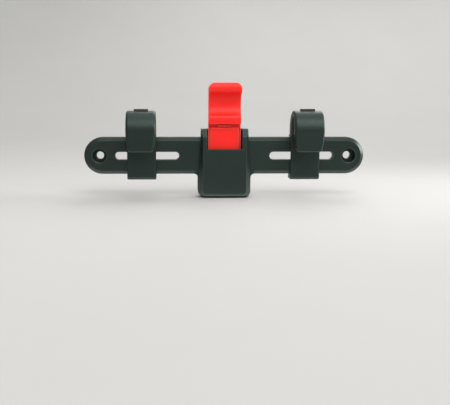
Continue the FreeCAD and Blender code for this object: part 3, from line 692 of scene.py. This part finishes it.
@dataclass
class Screw:
    """A screw along the depth axis: head at the rear, thread towards the front (mm)."""

    head_radius: float
    head_height: float
    head_round: float
    core_radius: float
    crest_radius: float
    pitch: float
    drive: Drive
    drive_half: float
    drive_depth: float
    head_back: float
    tip: float
    plain: float
    drive_point: float = 0.5
    drive_margin: float = 1.08
    taper_share: float = 0.7
    tip_share: float = 0.35
    ridge_share: float = 0.42
    ridge_sunk: float = 0.02
    divisions: int = 36
    shoulder_steps: int = 4
    ridge_steps: int = 18

    def build(self, shape: bmesh.types.BMesh, x: float, z: float) -> None:
        """Add the screw to a shape.

        Args:
            shape: the shape to add to.
            x: place of its axis along the rail.
            z: height of its axis.
        """
        part = bmesh.new()
        rim = self.head_radius - self.head_round
        inner = self.drive_half / math.cos(math.pi / self.drive.value) * self.drive_margin
        low = self.head_back + self.head_height
        taper = self.core_radius * self.taper_share
        first = part.verts.new(Vector((inner, -self.head_back, 0)) * MM)
        turned = part.verts.new(Vector((rim, -self.head_back, 0)) * MM)
        part.edges.new((first, turned))
        shoulder = bmesh.ops.spin(
            part,
            geom=[turned],
            cent=Vector((rim, -self.head_back - self.head_round, 0)) * MM,
            axis=(0, 0, -1),
            angle=math.pi / 2,
            steps=self.shoulder_steps,
            use_merge=False,
        )
        last = [v for v in shoulder["geom_last"] if isinstance(v, bmesh.types.BMVert)][0]
        for radius, depth in (
            (self.head_radius, low),
            (self.core_radius, low),
            (self.core_radius, self.tip - taper),
            (self.core_radius * self.tip_share, self.tip),
        ):
            corner = part.verts.new(Vector((radius, -depth, 0)) * MM)
            part.edges.new((last, corner))
            last = corner
        bmesh.ops.spin(
            part,
            geom=part.verts[:] + part.edges[:],
            cent=(0, 0, 0),
            axis=(0, 1, 0),
            angle=2 * math.pi,
            steps=self.divisions,
            use_merge=True,
        )
        self.cut_drive(part)
        close_ends(part)
        self.add_thread(part, low)
        bmesh.ops.translate(part, verts=part.verts[:], vec=(x * MM, 0.0, z * MM))
        held = bpy.data.meshes.new("screw")
        part.to_mesh(held)
        part.free()
        shape.from_mesh(held)
        bpy.data.meshes.remove(held)

    def cut_drive(self, part: bmesh.types.BMesh) -> None:
        """Join the open top of the head to a recess with flat sides and a pointed foot.

        Args:
            part: the screw so far, open at the middle of its head.
        """
        top = -self.head_back * MM
        ring = [
            edge
            for edge in part.edges
            if edge.is_boundary and all(abs(vert.co.y - top) < NEAR for vert in edge.verts)
        ]
        corner = 2 * math.pi / self.drive.value
        mouth, ring = grow_band(part, ring)
        for vert in mouth:
            turn = math.atan2(vert.co.z, vert.co.x)
            reach = self.drive_half / math.cos(turn % corner - corner / 2) * MM
            vert.co = (reach * math.cos(turn), top, reach * math.sin(turn))
        foot, ring = grow_band(part, ring)
        bmesh.ops.translate(part, verts=foot, vec=(0, -self.drive_depth * MM, 0))
        cone, _ = grow_band(part, ring)
        point = -self.head_back - self.drive_depth - self.drive_point
        bmesh.ops.pointmerge(part, verts=cone, merge_co=(0, point * MM, 0))

    def add_thread(self, part: bmesh.types.BMesh, low: float) -> None:
        """Wind a ridge round the core.

        Args:
            part: the screw so far.
            low: depth of the underside of its head.
        """
        start = low + self.plain
        half = self.pitch * self.ridge_share
        middle = (self.core_radius + self.crest_radius) / 2
        reach = (self.crest_radius - self.core_radius) / 2 + self.ridge_sunk
        made = bmesh.ops.create_circle(part, segments=4, radius=1.0)
        section = made["verts"]
        bmesh.ops.scale(part, verts=section, vec=(reach * MM, half * MM, 1.0))
        bmesh.ops.translate(part, verts=section, vec=(middle * MM, -start * MM, 0.0))
        length = self.tip - self.core_radius - start
        sweep_coil(
            part,
            section,
            Vector((0, 0, 0)),
            Vector((0, -1, 0)),
            length * MM,
            length / self.pitch,
            self.ridge_steps,
        )
        close_ends(part)


@dataclass
class Rail:
    """The bar: soft edges and the ejector marks in its rear cores (mm)."""

    shop: Workshop
    edge: float = 0.25
    mark_radius: float = 2.2
    mark_height: float = 0.15
    mark_round: float = 0.06
    mark_sides: int = 32
    core_floor: float = 3.0
    mark_x: float = 7.4
    mark_z: tuple[float, float] = (-6.5, -25.2)

    def build(self) -> None:
        """Build the bar and its marks."""
        bar = merged_copy("rail")
        soften(bar, self.edge)
        self.shop.add("rail_moulding", bar, GREEN, "rail", ["rail"])
        marks = bmesh.new()
        for x in (-self.mark_x, self.mark_x):
            for z in self.mark_z:
                self.add_mark(marks, x, z)
        self.shop.add("rail_ejector_marks", marks, GREEN, "rail")

    def add_mark(self, shape: bmesh.types.BMesh, x: float, z: float) -> None:
        """Add the round witness of one ejector pin.

        Args:
            shape: the shape to add to.
            x: its place along the rail.
            z: its height.
        """
        place = Matrix.Translation(Vector((x, -self.core_floor, z)) * MM)
        place = place @ Matrix.Rotation(math.pi / 2, 4, "X")
        made = bmesh.ops.create_cone(
            shape,
            cap_ends=True,
            segments=self.mark_sides,
            radius1=self.mark_radius * MM,
            radius2=self.mark_radius * MM,
            depth=self.mark_height * 2 * MM,
            matrix=place,
        )
        rims = [
            edge
            for edge in dict.fromkeys(e for vert in made["verts"] for e in vert.link_edges)
            if edge.calc_face_angle(0.0) > math.pi / 4
        ]
        bmesh.ops.bevel(
            shape,
            geom=rims,
            offset=self.mark_round * MM,
            affect="EDGES",
            segments=2,
            profile=0.5,
            material=-1,
        )


@dataclass
class LockHousing:
    """The cover of the lock and the four screws that hold it from the rear (mm)."""

    shop: Workshop
    edge: float = 0.3
    screw_x: float = 18.6
    screw_z: tuple[float, float] = (12.0, -27.0)

    def build(self) -> None:
        """Build the cover and its screws."""
        cover = merged_copy("lock_housing")
        soften(cover, self.edge)
        self.shop.add("lock_housing_moulding", cover, GREEN, "rail", ["lock_housing"])
        pattern = Screw(
            head_radius=2.7,
            head_height=2.0,
            head_round=0.7,
            core_radius=1.05,
            crest_radius=1.45,
            pitch=1.3,
            drive=Drive.SQUARE,
            drive_half=1.05,
            drive_depth=1.5,
            head_back=0.2,
            tip=15.6,
            plain=7.0,
        )
        screws = bmesh.new()
        for x in (-self.screw_x, self.screw_x):
            for z in self.screw_z:
                pattern.build(screws, x, z)
        self.shop.add("housing_screw_set", screws, ZINC, "rail", ["housing_screws"])


@dataclass
class LatchSpring:
    """One compression spring under the latch (mm)."""

    shop: Workshop
    side: Side
    spacing: float = 18.0
    depth: float = 10.5
    low: float = -32.9
    height: float = 26.5
    coil_radius: float = 2.9
    wire_radius: float = 0.4
    turns: float = 5.0
    end_turns: float = 1.0
    pressed_height: float = 6.5
    seat_gap: float = 0.1
    wire_sides: int = 10
    steps_per_turn: int = 28
    smooth_degrees: float = 60.0

    def build(self) -> None:
        """Wind the spring with closed ends."""
        x = self.spacing / 2 * (-1 if self.side is Side.LEFT else 1)
        centre = Vector((x, -self.depth, self.low)) * MM
        shape = bmesh.new()
        start = Matrix.Translation(centre + Vector((self.coil_radius, 0, self.wire_radius)) * MM)
        made = bmesh.ops.create_circle(
            shape,
            segments=self.wire_sides,
            radius=self.wire_radius * MM,
            matrix=start @ Matrix.Rotation(math.pi / 2, 4, "X"),
        )
        section = made["verts"]
        ground = 2 * self.wire_radius * self.end_turns
        climb = self.height - 2 * self.wire_radius - 2 * ground
        up = Vector((0, 0, 1))
        end = (ground, self.end_turns)
        for rise, turns in (end, (climb, self.turns), end):
            section = sweep_coil(
                shape, section, centre, up, rise * MM, turns, self.steps_per_turn
            )
        close_ends(shape)
        name = "latch_spring_%s" % self.side.value
        coil = self.shop.add(name + "_coil", shape, WIRE, "rail", [name], self.smooth_degrees)
        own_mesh(coil)


@dataclass
class Latch:
    """The red finger slider, with a groove along each side of its plate (mm)."""

    shop: Workshop
    edge: float = 0.25
    plate_front: float = 12.5
    groove_floor: float = 12.0
    groove_inner: float = 13.1
    groove_outer: float = 13.7
    groove_wider: float = 0.4
    groove_deeper: float = 1.2

    def build(self) -> None:
        """Build the slider with softened edges."""
        slider = merged_copy("latch")
        self.open_grooves(slider)
        soften(slider, self.edge)
        self.shop.add("latch_moulding", slider, RED, "latch", ["latch"])

    def open_grooves(self, shape: bmesh.types.BMesh) -> None:
        """Widen and deepen the grooves inwards, so that they still show once softened.

        Args:
            shape: the slider.
        """
        for vert in shape.verts:
            across, depth = abs(vert.co.x), -vert.co.y
            inner = abs(across - self.groove_inner * MM) < NEAR
            outer = abs(across - self.groove_outer * MM) < NEAR
            floor = abs(depth - self.groove_floor * MM) < NEAR
            if floor and (inner or outer):
                vert.co.y += self.groove_deeper * MM
            if inner and (floor or abs(depth - self.plate_front * MM) < NEAR):
                vert.co.x -= math.copysign(self.groove_wider * MM, vert.co.x)


@dataclass
class Hook:
    """A hook with its liner and its clamp (mm)."""

    shop: Workshop
    side: Side
    centre_x: float
    edge: float = 0.25
    foot_top: float = -14.0
    foot_round: float = 4.0
    foot_cuts: int = 6
    seat_radius: float = 6.0
    seat_depth: float = 23.05
    seat_height: float = 27.5
    rib_radius: float = 0.32
    rib_length: float = 21.0
    rib_count: int = 7
    rib_sides: int = 10
    washer_inner: float = 2.1
    washer_outer: float = 3.5
    washer_back: float = 3.0
    washer_thick: float = 0.9
    washer_wire_share: float = 0.82
    washer_turns: float = 0.96
    washer_steps: int = 48

    def node(self, name: str) -> str:
        """Name of one of this hook's nodes."""
        return "%s_%s" % (self.side.value, name)

    def build(self) -> None:
        """Build the hook and everything that slides with it."""
        body = self.node("hook")
        moulding = merged_copy(body)
        self.round_foot(moulding)
        soften(moulding, self.edge)
        self.shop.add(self.node("hook_moulding"), moulding, GREEN, body, [body])
        liner = merged_copy(self.node("tube_insert"))
        soften(liner, self.edge)
        self.shop.add(self.node("liner"), liner, LINER, body, [self.node("tube_insert")])
        self.build_ribs(body)
        plate = merged_copy(self.node("clamp_plate"))
        soften(plate, self.edge)
        self.shop.add(self.node("plate"), plate, ZINC, body, [self.node("clamp_plate")])
        self.build_washer(body)
        self.build_screw(body)
        self.shop.paint(self.node("threaded_insert"), BRASS)

    def round_foot(self, shape: bmesh.types.BMesh) -> None:
        """Plane the lower front edge of the sleeve to a round, one facet at a time.

        Args:
            shape: the hook.
        """
        top = self.foot_top * MM
        bmesh.ops.bisect_plane(
            shape,
            geom=shape.verts[:] + shape.edges[:] + shape.faces[:],
            dist=CUT_TOLERANCE,
            plane_co=(0, 0, top),
            plane_no=(0, 0, 1),
        )
        low = [vert.co for vert in shape.verts if vert.co.z < top]
        inward = Vector((0, self.foot_round, self.foot_round)) * MM
        centre = Vector((0, min(co.y for co in low), min(co.z for co in low))) + inward
        for step in range(self.foot_cuts):
            turn = math.pi / 2 * (step + 0.5) / self.foot_cuts
            outward = Vector((0, -math.cos(turn), -math.sin(turn)))
            faces = [face for face in shape.faces if face.calc_center_median().z < top]
            edges = dict.fromkeys(edge for face in faces for edge in face.edges)
            verts = dict.fromkeys(vert for face in faces for vert in face.verts)
            bmesh.ops.bisect_plane(
                shape,
                geom=[*verts, *edges, *faces],
                dist=CUT_TOLERANCE,
                plane_co=centre + outward * self.foot_round * MM,
                plane_no=outward,
                clear_outer=True,
            )
            rim = [edge for edge in shape.edges if edge.is_boundary]
            bmesh.ops.holes_fill(shape, edges=rim, sides=0)

    def build_ribs(self, body: str) -> None:
        """Lay grip ribs along the inside of the liner.

        Args:
            body: the body that carries them.
        """
        shape = bmesh.new()
        seat = Vector((self.centre_x, -self.seat_depth, self.seat_height)) * MM
        first = seat + Vector((-self.rib_length / 2, self.seat_radius, 0)) * MM
        bmesh.ops.create_circle(
            shape,
            cap_ends=True,
            segments=self.rib_sides,
            radius=self.rib_radius * MM,
            matrix=Matrix.Translation(first) @ Matrix.Rotation(math.pi / 2, 4, "Y"),
        )
        grown = bmesh.ops.extrude_face_region(shape, geom=shape.faces[:], use_keep_orig=True)
        moved = [item for item in grown["geom"] if isinstance(item, bmesh.types.BMVert)]
        bmesh.ops.translate(shape, verts=moved, vec=(self.rib_length * MM, 0, 0))
        bmesh.ops.recalc_face_normals(shape, faces=shape.faces[:])
        bmesh.ops.spin(
            shape,
            geom=shape.verts[:] + shape.edges[:] + shape.faces[:],
            cent=seat,
            axis=(1, 0, 0),
            angle=math.pi,
            steps=self.rib_count - 1,
            use_duplicate=True,
        )
        self.shop.add(self.node("liner_ribs"), shape, LINER, body)

    def build_washer(self, body: str) -> None:
        """Wind the split washer from a flat wire, its two ends a little apart.

        Args:
            body: the body that carries it.
        """
        shape = bmesh.new()
        wide = self.washer_outer - self.washer_inner
        thick = self.washer_thick * self.washer_wire_share
        lift = self.washer_thick - thick
        middle = (self.washer_outer + self.washer_inner) / 2
        made = bmesh.ops.create_circle(
            shape,
            segments=4,
            radius=math.sqrt(0.5),
            matrix=Matrix.Rotation(math.pi / 4, 4, "Z"),
        )
        section = made["verts"]
        bmesh.ops.scale(shape, verts=section, vec=(wide * MM, thick * MM, 1.0))
        back = self.washer_back + thick / 2
        bmesh.ops.translate(
            shape, verts=section, vec=Vector((self.centre_x + middle, -back, 0)) * MM
        )
        sweep_coil(
            shape,
            section,
            Vector((self.centre_x, 0, 0)) * MM,
            Vector((0, -1, 0)),
            lift * MM,
            self.washer_turns,
            self.washer_steps,
        )
        close_ends(shape)
        self.shop.add(self.node("split_washer"), shape, WIRE, body, [self.node("spring_washer")])

    def build_screw(self, body: str) -> None:
        """Build the clamp screw with its socket and thread.

        Args:
            body: the body that carries it.
        """
        screw = Screw(
            head_radius=3.8,
            head_height=2.4,
            head_round=0.8,
            core_radius=1.62,
            crest_radius=1.98,
            pitch=0.7,
            drive=Drive.HEXAGON,
            drive_half=1.25,
            drive_depth=2.3,
            head_back=0.6,
            tip=12.8,
            plain=3.2,
        )
        shape = bmesh.new()
        screw.build(shape, self.centre_x, 0.0)
        self.shop.add(self.node("socket_screw"), shape, ZINC, body, [self.node("clamp_screw")])


@dataclass
class Softbox:
    """A soft rectangular light (m, W)."""

    name: str
    place: tuple[float, float, float]
    aim: tuple[float, float, float]
    sides: tuple[float, float]
    power: float
    spread_degrees: float = 180.0

    def build(self) -> None:
        """Hang the light and turn it to its aim."""
        light = bpy.data.lights.new(self.name, "AREA")
        light.shape = "RECTANGLE"
        light.size, light.size_y = self.sides
        light.energy = self.power
        light.spread = math.radians(self.spread_degrees)
        lamp = bpy.data.objects.new(self.name, light)
        lamp.location = self.place
        way = Vector(self.aim) - Vector(self.place)
        lamp.rotation_euler = way.to_track_quat("-Z", "Y").to_euler()
        lamp.visible_camera = False
        bpy.context.scene.collection.objects.link(lamp)
        LOG.info("hung %s", self.name)


@dataclass
class Studio:
    """Pale floor with a coved wall all round, soft lights and the camera (m)."""

    floor_height: float
    flat_radius: float = 0.8
    cove_radius: float = 1.6
    wall_height: float = 0.1
    cove_steps: int = 16
    floor_steps: int = 96
    floor_weld: float = 0.0001
    world_strength: float = 1.0
    world_colour: str = "F4F5F7"
    camera_place: tuple[float, float, float] = (-0.04608, -0.67872, 0.05775)
    camera_aim: tuple[float, float, float] = (-0.03356, -0.012, -0.04241)
    camera_lens: float = 59.53
    camera_sensor: float = 36.0
    camera_shift: float = 0.0844

    def build(self) -> None:
        """Build the stage, the lights and the camera."""
        self.build_floor()
        middle = (0.0, 0.0, 0.0)
        for lamp in (
            Softbox("key_softbox", (0.35, -1.3, 1.32), middle, (1.5, 1.5), 40.0),
            Softbox("right_softbox", (0.68, 0.03, 0.2), (0.0, 0.0, 0.05), (0.33, 0.33), 1.25, 70.0),
            Softbox("left_softbox", (-1.3, -0.55, 0.5), middle, (0.6, 0.6), 1.5),
            Softbox("overhead_softbox", (0.0, 0.0, 2.0), middle, (1.2, 1.2), 8.0),
            Softbox("rear_softbox", (0.45, 1.4, 1.15), middle, (1.2, 1.2), 16.0),
            # Light that a pale floor throws back on the fronts and on the lower edges
            Softbox("front_bounce", (0.0, -0.2, -0.036), (0.0, -0.2, 1.0), (0.3, 0.3), 0.13),
            Softbox("under_bounce", (0.0, -0.01, -0.036), (0.0, -0.01, 1.0), (0.3, 0.06), 0.075),
        ):
            lamp.build()
        self.build_world()
        self.build_camera()

    def build_floor(self) -> None:
        """Spin the floor, its cove and its wall in one."""
        shape = bmesh.new()
        middle = shape.verts.new((0, 0, self.floor_height))
        edge = shape.verts.new((self.flat_radius, 0, self.floor_height))
        shape.edges.new((middle, edge))
        cove = bmesh.ops.spin(
            shape,
            geom=[edge],
            cent=(self.flat_radius, 0, self.floor_height + self.cove_radius),
            axis=(0, -1, 0),
            angle=math.pi / 2,
            steps=self.cove_steps,
            use_merge=False,
        )
        top = [v for v in cove["geom_last"] if isinstance(v, bmesh.types.BMVert)]
        grown = bmesh.ops.extrude_vert_indiv(shape, verts=top)
        bmesh.ops.translate(shape, verts=grown["verts"], vec=(0, 0, self.wall_height))
        bmesh.ops.spin(
            shape,
            geom=shape.verts[:] + shape.edges[:],
            cent=(0, 0, 0),
            axis=(0, 0, 1),
            angle=2 * math.pi,
            steps=self.floor_steps,
            use_merge=True,
        )
        bmesh.ops.remove_doubles(shape, verts=shape.verts[:], dist=self.floor_weld)
        bmesh.ops.recalc_face_normals(shape, faces=shape.faces[:])
        mesh = bpy.data.meshes.new("studio_floor")
        shape.to_mesh(mesh)
        shape.free()
        mesh.shade_smooth()
        mesh.materials.append(StudioPaint().material())
        floor = bpy.data.objects.new("studio_floor", mesh)
        bpy.context.scene.collection.objects.link(floor)
        floor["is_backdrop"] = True

    def build_world(self) -> None:
        """Light the room evenly."""
        world = bpy.data.worlds.new("studio_room")
        world.use_nodes = True
        back = world.node_tree.nodes["Background"]
        back.inputs["Color"].default_value = linear(self.world_colour)
        back.inputs["Strength"].default_value = self.world_strength
        bpy.context.scene.world = world
        bpy.context.scene.view_settings.view_transform = "Standard"

    def build_camera(self) -> None:
        """Set the camera where the photograph was taken from."""
        lens = bpy.data.cameras.new("camera")
        lens.sensor_width = self.camera_sensor
        lens.lens = self.camera_lens
        lens.shift_x = self.camera_shift
        camera = bpy.data.objects.new("camera", lens)
        camera.location = self.camera_place
        way = Vector(self.camera_aim) - Vector(self.camera_place)
        camera.rotation_euler = way.to_track_quat("-Z", "Y").to_euler()
        bpy.context.scene.collection.objects.link(camera)
        bpy.context.scene.camera = camera


def main() -> None:
    """Build every sub-assembly in order, then the studio."""
    logging.basicConfig(level=logging.INFO, format="%(message)s")
    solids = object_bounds()
    shop = Workshop()
    Rail(shop).build()
    LockHousing(shop).build()
    for side in Side:
        LatchSpring(shop, side).build()
    Latch(shop).build()
    Hook(shop, Side.LEFT, centre_x=-74.2).build()
    Hook(shop, Side.RIGHT, centre_x=72.4).build()
    Studio(floor_height=solids[0].z - FLOOR_GAP).build()


if __name__ == "__main__":
    main()
